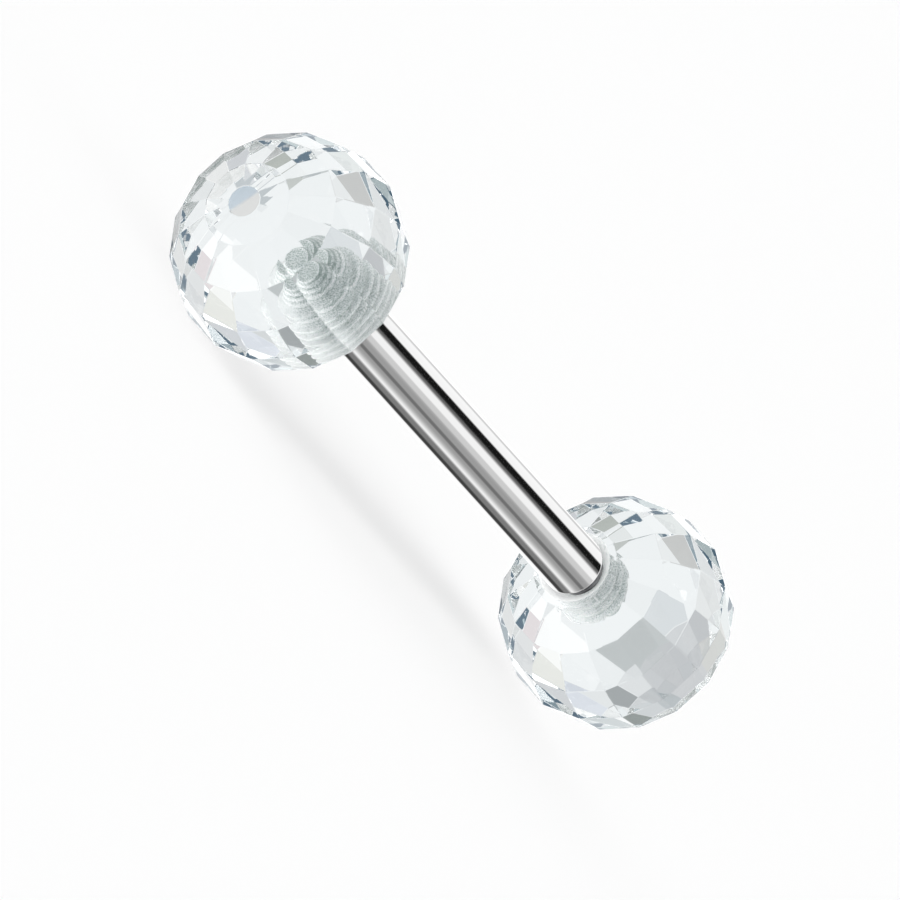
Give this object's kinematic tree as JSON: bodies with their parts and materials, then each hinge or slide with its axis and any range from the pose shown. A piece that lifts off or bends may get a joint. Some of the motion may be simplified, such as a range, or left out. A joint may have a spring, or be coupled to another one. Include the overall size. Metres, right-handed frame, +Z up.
{
  "type": "nipple barbell",
  "caption": "Straight barbell for a piercing: a mirror-polished steel bar with a clear, faceted ball screwed onto each end.",
  "frame": {"origin": "on the surface that the barbell rests on, under the middle of the bar", "axes": "+X along the bar towards right_ball, +Z up"},
  "size_m": [0.0278, 0.006, 0.006],
  "materials": {
    "polished_steel": "mirror-polished surgical steel",
    "clear_acrylic": "clear acrylic with polished flat facets; the threaded hole is frosted"
  },
  "bodies": {
    "bar": {"bar": "polished_steel"},
    "left_ball": {"left_ball": "clear_acrylic"},
    "right_ball": {"right_ball": "clear_acrylic"}
  },
  "joints": [
    {"name": "left_ball_unscrew", "type": "slide", "parent": "bar", "child": "left_ball", "axis": [-1, 0, 0], "range_m": [0, 0.0022]},
    {"name": "right_ball_unscrew", "type": "slide", "parent": "bar", "child": "right_ball", "axis": [1, 0, 0], "range_m": [0, 0.0022]}
  ]
}
